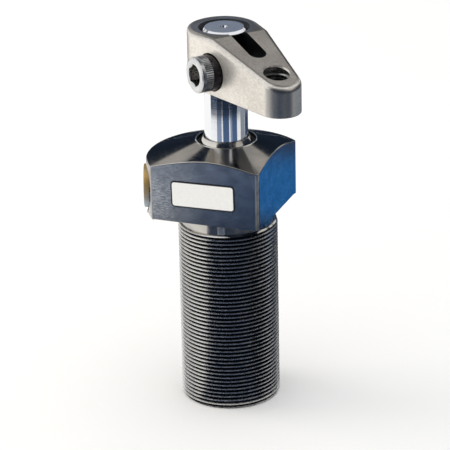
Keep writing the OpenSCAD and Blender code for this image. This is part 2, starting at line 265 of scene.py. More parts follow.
def makeBody(s):
    stub = s["neckLow"] - 2.4  # the head's foot, inside the barrel
    head = turned("threadedBody", [
        (0, stub), (s["neck"], stub), (s["neck"], s["shoulder"]),
        (s["head"] - s["chamfer"], s["shoulder"]), (s["head"], s["shoulder"] + s["chamfer"]),
        (s["head"], s["rim"]), (s["collar"], s["cone"]), (0, s["cone"])], sides=160)
    blockCuts(head, s)
    portLow, portOut = s["portFace"] - 12, s["head"] + 8
    port = turned("portTool", [
        (0, portLow), (s["portBore"], portLow), (s["portBore"], s["portFace"]),
        (s["spot"], s["portFace"]), (s["spot"], portOut), (0, portOut)], sides=72)
    placeAt(port, portPlace(s))
    carve(head, port)
    easeEdges(head, s["ease"], 3, 40, clamp=False)
    glandLow, glandOut = s["boreTop"] - 4, s["cone"] + 2
    gland = turned("glandTool", [
        (0, glandLow), (s["rodHole"], glandLow), (s["rodHole"], s["bushLow"]),
        (s["bush"], s["bushLow"]), (s["bush"], s["ringLow"]), (s["ringSeat"], s["ringLow"]),
        (s["ringSeat"], glandOut), (0, glandOut)])
    carve(head, gland)
    bead = turned("collarBead", [(s["collar"] + out, s["cone"] + up) for out, up in s["bead"]], sides=160)
    carve(head, bead, "UNION")
    barrel = threadBar("barrelThread", s["thread"], s["pitch"], s["base"], s["neckLow"] + 1.2)
    # just outside the crests, with a lead-in at the base and a run-out at the neck
    skin, runOut = s["thread"] + 0.2, s["neckLow"] + 1.8
    blank = turned("barrelBlank", [
        (0, -1), (s["thread"] - 2.2, -1), (skin, 1.4), (skin, s["neckLow"]),
        (s["thread"] - 1.6, runOut), (0, runOut)])
    carve(barrel, blank, "INTERSECT")
    carve(head, barrel, "UNION")
    bore = turned("boreTool", [
        (0, -2), (s["capSeat"], -2), (s["capSeat"], s["capTop"]), (s["bore"], s["capTop"]),
        (s["bore"], s["boreTop"]), (0, s["boreTop"])])
    carve(head, bore)
    cleanCuts(head)
    evenShading(head, 25)
    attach(head, "housing")
    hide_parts("body")
    return head


# the two flats and the edge between them, each taken off with a block
def blockCuts(head, s):
    big = 3 * s["head"]
    low, high = s["shoulder"] - 0.02, s["cone"] + 5  # past the head at both ends
    corner = (2 * s["flat"] - s["edge"]) / math.sqrt(2)
    for turn, reach in ((-90, s["flat"]), (0, s["flat"]), (-45, corner)):
        restNow()
        bpy.ops.mesh.primitive_cube_add(size=1, location=(0, 0, 0))
        block = bpy.context.object
        centre = Matrix.Translation(((reach + big / 2) * mm, 0, (low + high) / 2 * mm))
        size = Matrix.Diagonal((big * mm, big * mm, (high - low) * mm, 1))
        placeAt(block, Matrix.Rotation(math.radians(turn), 4, "Z") @ centre @ size)
        carve(head, block)


body = makeBody(bodySizes)
print("body made,", len(body.data.polygons), "faces")


# gland ring: a cone-shaped lip round the rod, and a low step that leaves a groove inside the collar
glandSizes = {
    "seat": 135.02, "pocket": 137.54, "wiper": 13.5, "out": 14.88, "step": 138.44, "foot": 13.1,
    "footTop": 138.9, "lip": 11.95, "lipTop": 141.2, "in": 11.45, "edge": 0.2, "lipDrop": 0.25, "inEdge": 0.1,
}


def makeGland(s):
    ring = turned("glandRing", [
        (s["wiper"], s["seat"]), (s["out"], s["seat"]), (s["out"], s["step"] - s["edge"]),
        (s["out"] - s["edge"], s["step"]), (s["foot"], s["step"]), (s["foot"], s["footTop"]),
        (s["lip"], s["lipTop"] - s["lipDrop"]), (s["lip"] - s["edge"], s["lipTop"]),
        (s["in"] + s["inEdge"], s["lipTop"]), (s["in"], s["lipTop"] - s["inEdge"]), (s["in"], s["pocket"]),
        (s["wiper"], s["pocket"]), (s["wiper"], s["seat"])], sides=128)
    smoothBy(ring, 28)
    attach(ring, "housing")
    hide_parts("gland_ring")
    return ring


gland = makeGland(glandSizes)
print("gland ring made,", len(gland.data.polygons), "faces")


# clamp arm: tapered plan, sloped top, keyhole slot, tapped tip hole, screw recess
armSizes = {
    "turn": -40.3, "low": 169.8, "top": 198.5, "end": 18.6, "tip": 10.3, "reach": 54.4,
    "slopeStart": 15.2, "slope": 15.1, "bore": 11.12, "flare": 1.8, "slot": 4.55, "slotEnd": 37.0,
    "holeReach": 51.0, "hole": 6.35, "holePitch": 1.954, "sink": 0.65,
    "topRound": 2.8, "backShare": 0.4, "tightFrom": 85, "tightTo": 145, "lowRound": 0.6,
    "screwAlong": 15.2, "screwHeight": 181.9, "recess": 9.7, "seat": 13.67, "clear": 6.4, "tap": 6.03,
}


def makeArm(s):
    touch = 0.02  # points this near to a plane lie on it
    arm = rod("clampArm", s["end"], s["low"], s["top"], sides=144)
    tip = rod("tipRound", s["tip"], s["low"], s["top"])
    placeAt(tip, Matrix.Translation((s["reach"] * mm, 0, 0)))
    restNow()
    tip.select_set(True)
    arm.select_set(True)
    bpy.context.view_layer.objects.active = arm
    bpy.ops.object.join()
    pickAll(arm)
    bpy.ops.mesh.convex_hull()
    bpy.ops.mesh.select_all(action="SELECT")
    bpy.ops.mesh.dissolve_limited(angle_limit=math.radians(0.4))
    restNow()
    slope = math.radians(s["slope"])
    sliceOff(arm, (s["slopeStart"], 0, s["top"]), (math.sin(slope), 0, math.cos(slope)))

    def topHeight(v):
        return s["top"] - max(0.0, (v.x - s["slopeStart"]) * math.tan(slope))

    def onTopRim(a, b):
        level = all(abs(v.z - topHeight(v)) < touch for v in (a, b))
        middle = all(abs(v.x - s["slopeStart"]) < touch for v in (a, b))
        return level and not middle

    # the top's round is full along the sides and the tip, and tightens towards the back of the round end
    def roundShare(a, b):
        middle = (a + b) / 2
        back = abs(math.degrees(math.atan2(middle.y, middle.x)))
        share = (back - s["tightFrom"]) / (s["tightTo"] - s["tightFrom"])
        tight = min(max(share, 0), 1) if middle.x < s["slopeStart"] else 0
        return round(1 - (1 - s["backShare"]) * tight, 2)

    spots = arm.data.vertices
    ends = [[spots[i].co / mm for i in edge.vertices] for edge in arm.data.edges]
    for share in sorted({roundShare(a, b) for a, b in ends if onTopRim(a, b)}):
        pickEdges(arm, lambda a, b: onTopRim(a, b) and roundShare(a, b) == share)
        bpy.ops.transform.edge_bevelweight(value=share)
    restNow()
    bevel = arm.modifiers.new("topRound", "BEVEL")
    bevel.width = s["topRound"] * mm
    bevel.segments = 8
    bevel.limit_method = "WEIGHT"
    bevel.use_clamp_overlap = False
    applyLast(arm)
    pickEdges(arm, lambda a, b: all(abs(v.z - s["low"]) < touch for v in (a, b)))
    bpy.ops.mesh.bevel(offset=s["lowRound"] * mm, segments=3, profile=0.5, affect="EDGES", clamp_overlap=False)
    restNow()
    under, over, wide = s["low"] - 3, s["top"] + 3, s["bore"] + s["flare"]
    bore = turned("boreTool", [
        (0, under), (s["bore"], under), (s["bore"], s["top"] - s["flare"]), (wide, s["top"]),
        (wide, over), (0, over)])
    carve(arm, bore)
    restNow()
    bpy.ops.mesh.primitive_cube_add(size=1)
    slot = bpy.context.object
    slotHigh, endPast = 50, 10.7  # the round end is a little longer than the block
    long = s["slotEnd"] - s["slot"]
    placeAt(slot, Matrix.Translation((long / 2 * mm, 0, (s["low"] + s["top"]) / 2 * mm))
            @ Matrix.Diagonal((long * mm, 2 * s["slot"] * mm, slotHigh * mm, 1)))
    slotEnd = rod("slotEnd", s["slot"], s["low"] - endPast, s["top"] + endPast, sides=48)
    placeAt(slotEnd, Matrix.Translation((long * mm, 0, 0)))
    carve(slot, slotEnd, "UNION")
    carve(arm, slot)
    rim = s["top"] - (s["holeReach"] - s["slopeStart"]) * math.tan(slope)
    hole = threadBar("tipThread", s["hole"], s["holePitch"], s["low"] - 2, rim - 1.6, sides=64)
    lead = rod("tipLead", s["hole"], rim - 2.4, s["top"], sides=64)
    for tool in (hole, lead):
        placeAt(tool, Matrix.Translation((s["holeReach"] * mm, 0, 0)))
        carve(arm, tool)
    sinkLow, sinkTop, sinkOut = -1.4, 2, s["hole"] + s["sink"]
    sink = turned("tipSink", [
        (0, sinkLow), (sinkOut + sinkLow, sinkLow), (sinkOut + sinkTop, sinkTop), (0, sinkTop)], sides=64)
    placeAt(sink, Matrix.Translation((s["holeReach"] * mm, 0, rim * mm)) @ Matrix.Rotation(slope, 4, "Y"))
    carve(arm, sink)
    deep, out = -30, 40  # past both sides of the arm
    screwWay = turned("screwTool", [
        (0, deep), (s["tap"], deep), (s["tap"], 0), (s["clear"], 0), (s["clear"], s["seat"]),
        (s["recess"], s["seat"]), (s["recess"], out), (0, out)], sides=72)
    placeAt(screwWay, Matrix.Translation((s["screwAlong"] * mm, 0, s["screwHeight"] * mm))
            @ Matrix.Rotation(math.radians(90), 4, "X"))
    carve(arm, screwWay)
    cleanCuts(arm)
    placeAt(arm, Matrix.Rotation(math.radians(s["turn"]), 4, "Z"))
    evenShading(arm, 30)
    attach(arm, "plunger_and_arm")
    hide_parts("clamp_arm")
    return arm


arm = makeArm(armSizes)
print("arm made,", len(arm.data.polygons), "faces")


# pinch screw: knurled socket head and a threaded shank, built along Z with its face at z = 0
screwSizes = {
    "head": 9.0, "valley": 8.76, "core": 8.6, "band": 9.04, "back": 9.1, "headHigh": 12.0, "plain": 2.1,
    "rear": 5.6, "teeth": 52, "edge": 0.9, "face": 8.1, "footEdge": 0.5, "overlap": 0.3,
    "acrossFlats": 10.0, "socket": 6.0, "point": 1.6, "lead": 0.7, "socketTurn": 12.0,
    "thread": 6.0, "pitch": 1.75, "length": 39.6, "faceOut": 25.67,
}


def screwPlace(a, s):
    out = Matrix.Translation((a["screwAlong"] * mm, -s["faceOut"] * mm, a["screwHeight"] * mm))
    return Matrix.Rotation(math.radians(a["turn"]), 4, "Z") @ out @ Matrix.Rotation(math.radians(90), 4, "X")


def makeScrew(s, place):
    head = rod("pinchScrew", s["valley"], s["rear"] - s["headHigh"] - 0.5, s["overlap"] - s["plain"],
               sides=2 * s["teeth"])
    step = math.pi / s["teeth"]

    # every other upright edge of the side is a ridge of the knurl
    def ridge(a, b):
        upright = abs(a.z - b.z) > 1
        return upright and round(math.atan2(a.y, a.x) / step) % 2 == 0

    pickEdges(head, ridge)
    grow = s["head"] / s["valley"]
    bpy.ops.transform.resize(value=(grow, grow, 1), center_override=(0, 0, 0))
    restNow()
    foot, knurlLow = -s["headHigh"], s["rear"] - s["headHigh"]
    core = turned("screwCore", [
        (0, foot), (s["back"] - s["footEdge"], foot), (s["back"], foot + s["footEdge"]), (s["back"], knurlLow),
        (s["core"], knurlLow + 0.25), (s["core"], -s["plain"] - s["overlap"]), (s["band"], -s["plain"]),
        (s["band"], -s["edge"]), (s["band"] - 0.15, -0.45), (s["face"], 0), (0, 0)], sides=80)
    carve(head, core, "UNION")
    half, pointTop = s["acrossFlats"] / 2, -s["socket"] + 0.2
    socket = rod("socketTool", s["acrossFlats"] / math.sqrt(3), -s["socket"], 2, sides=6)
    point = turned("socketPoint", [
        (0, -s["socket"] - s["point"]), (half - 0.3, pointTop), (0, pointTop)], sides=36)
    lead = turned("socketLead", [
        (0, -s["lead"]), (half - 0.1, -s["lead"]), (half + 1.1, 0.5), (0, 0.5)], sides=48)
    carve(socket, point, "UNION")
    placeAt(socket, Matrix.Rotation(math.radians(s["socketTurn"]), 4, "Z"))
    carve(head, socket)
    carve(head, lead)
    shank = threadBar("shankThread", s["thread"], s["pitch"], -s["length"], foot + s["overlap"], sides=48)
    carve(head, shank, "UNION")
    cleanCuts(head)
    placeAt(head, place)
    evenShading(head, 28)
    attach(head, "plunger_and_arm")
    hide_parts("pinch_screw")
    return head


screw = makeScrew(screwSizes, screwPlace(armSizes, screwSizes))
print("screw made,", len(screw.data.polygons), "faces")


# port adapter: a collared reducing bush, built along Z from the body's axis outwards
portSizes = {
    "tail": 28.5, "oil": 2.5, "shank": 8.29, "seat": 40.0, "sealOut": 10.2, "under": 38.81, "collar": 11.1,
    "face": 42.2, "edge": 0.5, "underEdge": 0.3, "faceEdge": 0.15,
    "thread": 4.9, "tooth": 0.5, "sink": 0.7, "sinkDeep": 1.2, "pitch": 0.94, "floor": 30.0,
}


def makePort(s, place):
    e, u, f = s["edge"], s["underEdge"], s["faceEdge"]
    core = s["thread"] - s["tooth"]
    port = turned("portAdapter", [
        (s["oil"], s["tail"]), (s["shank"] - e, s["tail"]), (s["shank"], s["tail"] + e), (s["shank"], s["seat"]),
        (s["sealOut"], s["seat"]), (s["sealOut"], s["under"]), (s["collar"] - u, s["under"]),
        (s["collar"], s["under"] + u), (s["collar"], s["face"] - e), (s["collar"] - f, s["face"] - f),
        (s["collar"] - e, s["face"]), (s["thread"] + s["sink"], s["face"]), (core, s["face"] - s["sinkDeep"]),
        (core, s["floor"]), (s["oil"], s["floor"]), (s["oil"], s["tail"])])
    groove = threadBar("portThread", s["thread"], s["pitch"], s["floor"] + 1.2, s["face"] + 1, sides=48)
    carve(port, groove)
    cleanCuts(port)
    placeAt(port, place)
    smoothBy(port, 28)
    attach(port, "housing")
    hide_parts("port_adapter")
    return port


port = makePort(portSizes, portPlace(bodySizes))
print("port adapter made,", len(port.data.polygons), "faces")


# label: a thin plate with rounded corners, bare, with a dark border
labelSizes = {
    "wide": 34.0, "high": 13.9, "thick": 0.3, "corner": 2.0, "rim": 0.08, "crown": 0.03, "border": 0.65,
    "tilt": 1.0, "x": -3.4, "y": -26.21, "z": 117.3,
}


def makeLabel(s):
    restNow()
    bpy.ops.mesh.primitive_plane_add(size=mm)
    plate = bpy.context.object
    plate.name = plate.data.name = "labelPlate"
    pickAll(plate)
    bpy.ops.transform.resize(value=(s["wide"], s["high"], 1))
    drawOn(0, s["thick"] * mm)
    restNow()
    pickEdges(plate, lambda a, b: abs(a.z - b.z) > s["thick"] / 2)
    bpy.ops.mesh.bevel(offset=s["corner"] * mm, segments=6, profile=0.5, affect="EDGES")
    restNow()
    pickFaces(plate, lambda f: f.normal.z > 0.9)
    bpy.ops.mesh.inset(thickness=s["rim"] * mm, depth=s["crown"] * mm)
    bpy.ops.mesh.inset(thickness=s["border"] * mm, depth=0)
    restNow()
    pickAll(plate)
    bpy.ops.mesh.normals_make_consistent(inside=False)
    restNow()
    upright = Matrix.Rotation(math.radians(90), 4, "X") @ Matrix.Rotation(math.radians(s["tilt"]), 4, "Z")
    placeAt(plate, Matrix.Translation((s["x"] * mm, s["y"] * mm, s["z"] * mm)) @ upright)
    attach(plate, "housing")
    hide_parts("label")
    return plate


label = makeLabel(labelSizes)
print("label made")


# return spring: the coil as a mesh of its own
def makeSpring(node):
    spring = bpy.data.objects.new("coiledSpring", node.data.copy())
    scene.collection.objects.link(spring)
    pickAll(spring, "VERT")
    bpy.ops.mesh.remove_doubles(threshold=weld["turned"])  # the copied triangles are joined first
    smoothBy(spring, 40)
    restNow()
    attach(spring, "housing")
    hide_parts("return_spring")
    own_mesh(spring)
    return spring


spring = makeSpring(nodes["return_spring"])
print("spring made,", len(spring.data.polygons), "faces")


# material helpers

noiseSpan = (0.3, 0.7)  # nearly all of a noise's values lie between these


# colours are written in sRGB and turned to the linear values that shaders take
def linear(colour):
    parts = [int(colour[i:i + 2], 16) / 255 for i in (1, 3, 5)]
    return tuple(p / 12.92 if p <= 0.04045 else ((p + 0.055) / 1.055) ** 2.4 for p in parts) + (1.0,)


# fills a node's inputs, by name or number or in order, with values, outputs or nodes (their first output)
def plug(tree, node, sockets):
    for key, value in sockets.items() if isinstance(sockets, dict) else enumerate(sockets):
        if isinstance(value, bpy.types.Node):
            value = value.outputs[0]
        if isinstance(value, bpy.types.NodeSocket):
            tree.links.new(value, node.inputs[key])
        else:
            node.inputs[key].default_value = value


def addNode(tree, kind, sockets=(), **settings):
    node = tree.nodes.new(kind)
    for name, value in settings.items():
        setattr(node, name, value)
    plug(tree, node, sockets)
    return node


def newLook(name, sockets):
    look = bpy.data.materials.new(name)
    look.use_nodes = True
    tree = look.node_tree
    shader = tree.nodes["Principled BSDF"]
    plug(tree, shader, sockets)
    return look, tree, shader


# where a point lies, in the part's frame or in one that is turned about Z and then shifted
def placeOf(tree, turn=0.0, shift=(0, 0, 0)):
    where = addNode(tree, "ShaderNodeTexCoord").outputs["Object"]
    if not turn:
        return where
    return addNode(tree, "ShaderNodeMapping", {
        "Vector": where, "Rotation": (0, 0, math.radians(turn)), "Location": shift})


# the distance from an axis, given the two measures across it
def awayFrom(tree, across):
    flat = addNode(tree, "ShaderNodeCombineXYZ", across)
    return addNode(tree, "ShaderNodeVectorMath", [flat], operation="LENGTH").outputs["Value"]


# the distance from the body's axis and the height, for marks left by turning
def turnedPlace(tree):
    axes = addNode(tree, "ShaderNodeSeparateXYZ", [placeOf(tree)]).outputs
    return awayFrom(tree, {"X": axes["X"], "Y": axes["Y"]}), axes["Z"]


# grain in cells of the given millimetres along each axis, as a noise
def grain(tree, cells, detail=2.0, turn=0.0):
    fitted = addNode(tree, "ShaderNodeMapping", {
        "Vector": placeOf(tree, turn), "Scale": [1000 / c for c in cells]})
    return addNode(tree, "ShaderNodeTexNoise", {"Vector": fitted, "Scale": 1.0, "Detail": detail})


# colour goes from the first to the second by the share; roughness and relief follow the marks
def coat(tree, shader, share, colours, marks, s):
    first, second = (linear(c) for c in colours)
    mix = addNode(tree, "ShaderNodeMix", {0: share, 6: first, 7: second}, data_type="RGBA")
    rough = addNode(tree, "ShaderNodeMapRange", [marks, *noiseSpan, *s["rough"]])
    strength, deep = s["relief"]
    bump = addNode(tree, "ShaderNodeBump", {"Strength": strength, "Distance": deep * mm, "Height": marks})
    plug(tree, shader, {"Base Color": mix.outputs[2], "Roughness": rough, "Normal": bump})


# turned carbon steel: bright and close to mirror-like, with fine rings from the tool
turnedLook = {
    "colour": "#c4c1bb", "stain": "#a9a8a6", "rough": (0.1, 0.17), "stainMm": (14, 14, 9), "relief": (0.08, 0.01),
    "ringMm": 0.5,  # feed marks are near 0.2 mm, drawn coarser so that they show
}
# the head's round side, turned with a coarser feed: the same steel, duller
sideLook = {
    "colour": "#bdbab5", "stain": "#a5a4a2", "rough": (0.24, 0.34), "stainMm": (14, 14, 9), "relief": (0.08, 0.01),
    "ringMm": 0.8,
}


def turnedSteel(name, s):
    look, tree, shader = newLook(name, {"Metallic": 1.0})
    rings = addNode(tree, "ShaderNodeCombineXYZ", turnedPlace(tree))
    marks = addNode(tree, "ShaderNodeTexNoise", {
        "Vector": rings, "Scale": 1000 / s["ringMm"], "Detail": 2.0}, noise_dimensions="2D")
    share = addNode(tree, "ShaderNodeMapRange", [grain(tree, s["stainMm"]), 0.35, 0.7, 0.0, 1.0])
    coat(tree, shader, share, (s["colour"], s["stain"]), marks, s)
    return look


# face-milled carbon steel: dull grey with fine level lines
milledLook = {
    "colour": "#b2b6bc", "stain": "#7f858e", "rough": (0.13, 0.24), "stainMm": (7, 7, 5), "relief": (0.22, 0.02),
    "lineMm": (2.6, 2.6, 0.5),  # real tool lines are near 0.1 mm, drawn coarser so that they show
}


def milledSteel(s):
    look, tree, shader = newLook("milledCarbonSteel", {"Metallic": 1.0})
    lines = grain(tree, s["lineMm"], 3.0)
    stained = addNode(tree, "ShaderNodeMapRange", [grain(tree, s["stainMm"]), *noiseSpan, 0.0, 0.5])
    lined = addNode(tree, "ShaderNodeMapRange", [lines, 0.35, 0.65, 0.0, 0.5])
    share = addNode(tree, "ShaderNodeMath", [stained, lined], operation="ADD", use_clamp=True)
    coat(tree, shader, share, (s["colour"], s["stain"]), lines, s)
    return look


# thread-cut carbon steel: roots painted dark as shade in the grooves, crests lighter as bright worn metal and
# painted highlight
threadLook = {
    "shadedRoot": "#1d2026", "crest": "#e8e7e5", "crestMm": (24.5, 25.15), "rough": (0.2, 0.32),
    "grainMm": (3, 3, 1.1), "relief": (0.06, 0.02),
}


def cutThread(s):
    look, tree, shader = newLook("threadedCarbonSteel", {"Metallic": 1.0})
    radius = turnedPlace(tree)[0]
    # by the distance from the axis: painted shade in the roots, painted highlight on the crests
    shadeToHighlight = addNode(tree, "ShaderNodeMapRange", [radius, *(v * mm for v in s["crestMm"]), 0.0, 1.0])
    coat(tree, shader, shadeToHighlight, (s["shadedRoot"], s["crest"]), grain(tree, s["grainMm"], 3.0), s)
    return look


# hard chrome on a ground rod: mirror-like, with the faintest rings from grinding, and a duller faced top
chromeLook = {
    "colour": "#e6e8ec", "rough": (0.05, 0.1), "ringMm": (30, 30, 0.6), "relief": (0.04, 0.01),
    "topMm": (198.42, 198.47), "topRough": 0.2,
}


def hardChrome(s):
    look, tree, shader = newLook("hardChrome", {"Metallic": 1.0, "Base Color": linear(s["colour"])})
    rings = grain(tree, s["ringMm"])
    height = turnedPlace(tree)[1]
    ground = addNode(tree, "ShaderNodeMapRange", [rings, *noiseSpan, *s["rough"]])
    faced = addNode(tree, "ShaderNodeMapRange", [height, *(v * mm for v in s["topMm"]), 0.0, s["topRough"]])
    rough = addNode(tree, "ShaderNodeMath", [ground, faced], operation="ADD")
    strength, deep = s["relief"]
    bump = addNode(tree, "ShaderNodeBump", {"Strength": strength, "Distance": deep * mm, "Height": rings})
    plug(tree, shader, {"Roughness": rough, "Normal": bump})
    return look


# a plain metal with grain: colour varies between two values, roughness with the same grain
def grainedMetal(name, s):
    look, tree, shader = newLook(name, {"Metallic": 1.0})
    cells = grain(tree, s["grainMm"], 3.0, s.get("turn", 0.0))
    both = addNode(tree, "ShaderNodeMath", [grain(tree, s["patchMm"]), cells], operation="ADD")
    share = addNode(tree, "ShaderNodeMapRange", [both, 0.8, 1.2, 0.0, 1.0])
    coat(tree, shader, share, (s["colour"], s["shade"]), cells, s)
    if "sideMetal" in s:
        dullSides(tree, shader, s)
    return look


# upright faces keep a blasted, duller finish; level faces and the tip are rubbed to bare metal
def dullSides(tree, shader, s):
    along = addNode(tree, "ShaderNodeSeparateXYZ", [placeOf(tree, s["turn"])]).outputs["X"]
    facing = addNode(tree, "ShaderNodeNewGeometry").outputs["Normal"]
    rise = addNode(tree, "ShaderNodeSeparateXYZ", [facing]).outputs["Z"]
    steep = addNode(tree, "ShaderNodeMath", [rise], operation="ABSOLUTE")
    tip = addNode(tree, "ShaderNodeMapRange", [along, *(v * mm for v in s["tipMm"]), 0.0, 1.0])
    level = addNode(tree, "ShaderNodeMapRange", [steep, 0.15, 0.5, 0.0, 1.0])
    bare = addNode(tree, "ShaderNodeMath", [tip, level], operation="MAXIMUM")
    plug(tree, shader, {"Metallic": addNode(tree, "ShaderNodeMapRange", [bare, 0.0, 1.0, s["sideMetal"], 1.0])})


# tool steel arm, blasted and rubbed along its length: soft satin, warm light grey with a fine grain
armLook = {
    "colour": "#e9e4dc", "shade": "#d6d0c8", "rough": (0.28, 0.42), "grainMm": (1.6, 0.9, 0.9),
    "patchMm": (16, 16, 16), "relief": (0.2, 0.03), "turn": -armSizes["turn"], "sideMetal": 0.68, "tipMm": (30, 46),
}
# the arm's level top, ground flat: the same steel, painted darker as shade
levelTopShadeLook = {
    "colour": "#a8a7a6", "shade": "#908f8e", "rough": (0.28, 0.36), "grainMm": (2.4, 0.9, 0.9),
    "patchMm": (16, 16, 16), "relief": (0.08, 0.03), "turn": -armSizes["turn"],
}
# the same steel as sawn and bored inside the arm, and in the groove by the gland ring: painted dark as shade in
# these hollows, and dull
hollowShadeLook = {
    "colour": "#3f4043", "shade": "#323337", "rough": (0.42, 0.55), "grainMm": (6, 6, 0.6),
    "patchMm": (8, 8, 8), "relief": (0.15, 0.03),
}
# the tip hole's thread, cut clean: brighter than the slot's painted shade
tappedLook = {
    "colour": "#b9b8b6", "shade": "#a6a5a3", "rough": (0.2, 0.28), "grainMm": (3, 3, 0.8),
    "patchMm": (6, 6, 6), "relief": (0.05, 0.03),
}
# the back of the screw's head: painted near black as shade and dark reflection from the arm's recess, with an oil
# sheen
screwBackShadeLook = {
    "colour": "#4a4749", "shade": "#3d3b3e", "rough": (0.26, 0.36), "grainMm": (1.2, 1.2, 1.2),
    "patchMm": (5, 5, 5), "relief": (0.03, 0.03),
}
# ground gland ring, bright with turned rings
ringLook = {
    "colour": "#dcd8d0", "shade": "#cfccc6", "rough": (0.12, 0.2), "grainMm": (20, 20, 0.5),
    "patchMm": (9, 9, 9), "relief": (0.05, 0.03),
}
# hardened screw steel, oiled: light grey
screwLook = {
    "colour": "#d6d6d6", "shade": "#c4c6c9", "rough": (0.26, 0.34), "grainMm": (0.9, 0.9, 0.9),
    "patchMm": (5, 5, 5), "relief": (0.03, 0.03),
}
# leaded bronze: warm brown-gold, turned
bronzeLook = {
    "colour": "#c39a5c", "shade": "#a98248", "rough": (0.28, 0.4), "grainMm": (12, 12, 0.5),
    "patchMm": (6, 6, 6), "relief": (0.08, 0.03),
}
# drawn spring wire: grey with a thin oil film
springLook = {
    "colour": "#7f8388", "shade": "#6b6f75", "rough": (0.26, 0.4), "grainMm": (0.8, 0.8, 2.4),
    "patchMm": (8, 8, 8), "relief": (0.08, 0.03),
}
# the screw's knurl: valleys painted darker grey as shade between the ridges, and ridges rubbed bright
knurlLook = {
    "valley": "#6a6d74", "ridge": "#cdcdcd", "ridgeMm": (8.72, 8.97), "rough": (0.32, 0.42),
    "grainMm": (0.9, 0.9, 0.9), "relief": (0.03, 0.02),
}


def knurledSteel(s, along, height, turn):
    look, tree, shader = newLook("knurledScrewSteel", {"Metallic": 1.0})
    own = placeOf(tree, -turn, (-along * mm, 0, -height * mm))
    axes = addNode(tree, "ShaderNodeSeparateXYZ", [own]).outputs
    radius = awayFrom(tree, {"X": axes["X"], "Z": axes["Z"]})
    # by the distance from the screw's axis: painted shade in the valleys, bright ridges
    shadeToRidge = addNode(tree, "ShaderNodeMapRange", [radius, *(v * mm for v in s["ridgeMm"]), 0.0, 1.0])
    coat(tree, shader, shadeToRidge, (s["valley"], s["ridge"]), grain(tree, s["grainMm"], 3.0), s)
    return look


# yellow zinc plate: straw gold, turning blue-grey lower down as a painted reflection of the blue floor; its
# chromate film dulls the metal
zincLook = {
    "top": "#c2a062", "foot": "#a3aeb6", "blueReflectionMm": (108, 119), "rough": (0.38, 0.5), "patchMm": (4, 4, 4),
    "relief": (0.05, 0.02),
}


def zincPlate(s):
    look, tree, shader = newLook("yellowZincPlate", {"Metallic": 0.6})
    patch = grain(tree, s["patchMm"], 3.0)
    height = turnedPlace(tree)[1]
    # lower down the colour turns to a painted reflection of the blue floor
    rise = addNode(tree, "ShaderNodeMapRange", [height, *(v * mm for v in s["blueReflectionMm"]), 0.0, 1.0])
    drift = addNode(tree, "ShaderNodeMapRange", [patch, *noiseSpan, -0.3, 0.3])
    share = addNode(tree, "ShaderNodeMath", [rise, drift], operation="ADD", use_clamp=True)
    coat(tree, shader, share, (s["foot"], s["top"]), patch, s)
    return look


# a moulded or printed surface that isn't metal, with a fine grain
def moulded(name, s):
    look, tree, shader = newLook(name, {"Metallic": 0.0, "IOR": s["ior"]})
    cells = grain(tree, s["grainMm"], 3.0)
    share = addNode(tree, "ShaderNodeMapRange", [cells, *noiseSpan, 0.0, 1.0])
    coat(tree, shader, share, (s["colour"], s["shade"]), cells, s)
    return look


# nitrile rubber rings: matt near-black
rubberLook = {
    "colour": "#1b1b1d", "shade": "#232325", "rough": (0.55, 0.7), "ior": 1.52, "grainMm": (0.9, 0.9, 0.9),
    "relief": (0.15, 0.02),
}
# polyurethane seals: dull grey-green
sealLook = {
    "colour": "#4c524c", "shade": "#424842", "rough": (0.4, 0.5), "ior": 1.5, "grainMm": (1.2, 1.2, 1.2),
    "relief": (0.08, 0.02),
}
# printed polyester label: smooth white film
filmLook = {
    "colour": "#f1f0ec", "shade": "#ebeae6", "rough": (0.3, 0.38), "ior": 1.57, "grainMm": (1.0, 1.0, 1.0),
    "relief": (0.03, 0.02),
}
# the label's dark border, rim and sides
darkBorderLook = {
    "colour": "#14161a", "shade": "#1d2026", "rough": (0.32, 0.42), "ior": 1.5, "grainMm": (1.0, 1.0, 1.0),
    "relief": (0.03, 0.02),
}

looks = {
    "machined_steel": turnedSteel("turnedCarbonSteel", turnedLook),
    "chrome": hardChrome(chromeLook),
    "bright_steel": grainedMetal("groundSteel", ringLook),
    "arm_steel": grainedMetal("satinToolSteel", armLook),
    "screw_steel": grainedMetal("oiledScrewSteel", screwLook),
    "yellow_zinc": zincPlate(zincLook),
    "bronze": grainedMetal("leadedBronze", bronzeLook),
    "spring_steel": grainedMetal("drawnSpringWire", springLook),
    "rubber": moulded("nitrileRubber", rubberLook),
    "polymer": moulded("polyurethane", sealLook),
    "label_plate": moulded("polyesterFilm", filmLook),
}
darkBorder = moulded("darkLabelEdge", darkBorderLook)
milled, threaded = milledSteel(milledLook), cutThread(threadLook)
knurled = knurledSteel(knurlLook, armSizes["screwAlong"], armSizes["screwHeight"], armSizes["turn"])
sideTurned = turnedSteel("coarseTurnedSteel", sideLook)
# the first of these paints shade into the hollows, the second paints shade onto the arm's level top
hollowShade, faced = grainedMetal("hollowShadeSteel", hollowShadeLook), grainedMetal("shadedTopToolSteel", levelTopShadeLook)
# the second of these is painted shade on the back of the screw's head
tapped, screwBackShade = grainedMetal("tappedToolSteel", tappedLook), grainedMetal("paintedShadeScrewBack", screwBackShadeLook)


def wear(piece, look):
    piece.data.materials.clear()
    piece.data.materials.append(look)


for part in frame["record"]["subparts"]:
    wear(nodes[part["node"]], looks[part["material_slot"]])
for piece, slot in ((body, "machined_steel"), (gland, "bright_steel"), (arm, "arm_steel"), (screw, "screw_steel"),
                    (port, "yellow_zinc"), (label, "label_plate"), (spring, "spring_steel")):
    wear(piece, looks[slot])


# gives the faces that pass the test another finish; the test gets a face's centre and normal in the turned frame
def finishFaces(piece, look, test, turn=0.0):
    piece.data.materials.append(look)
    number = len(piece.data.materials) - 1
    back = Matrix.Rotation(-math.radians(turn), 3, "Z")
    for face in piece.data.polygons:
        if test(back @ face.center / mm, back @ face.normal):
            face.material_index = number


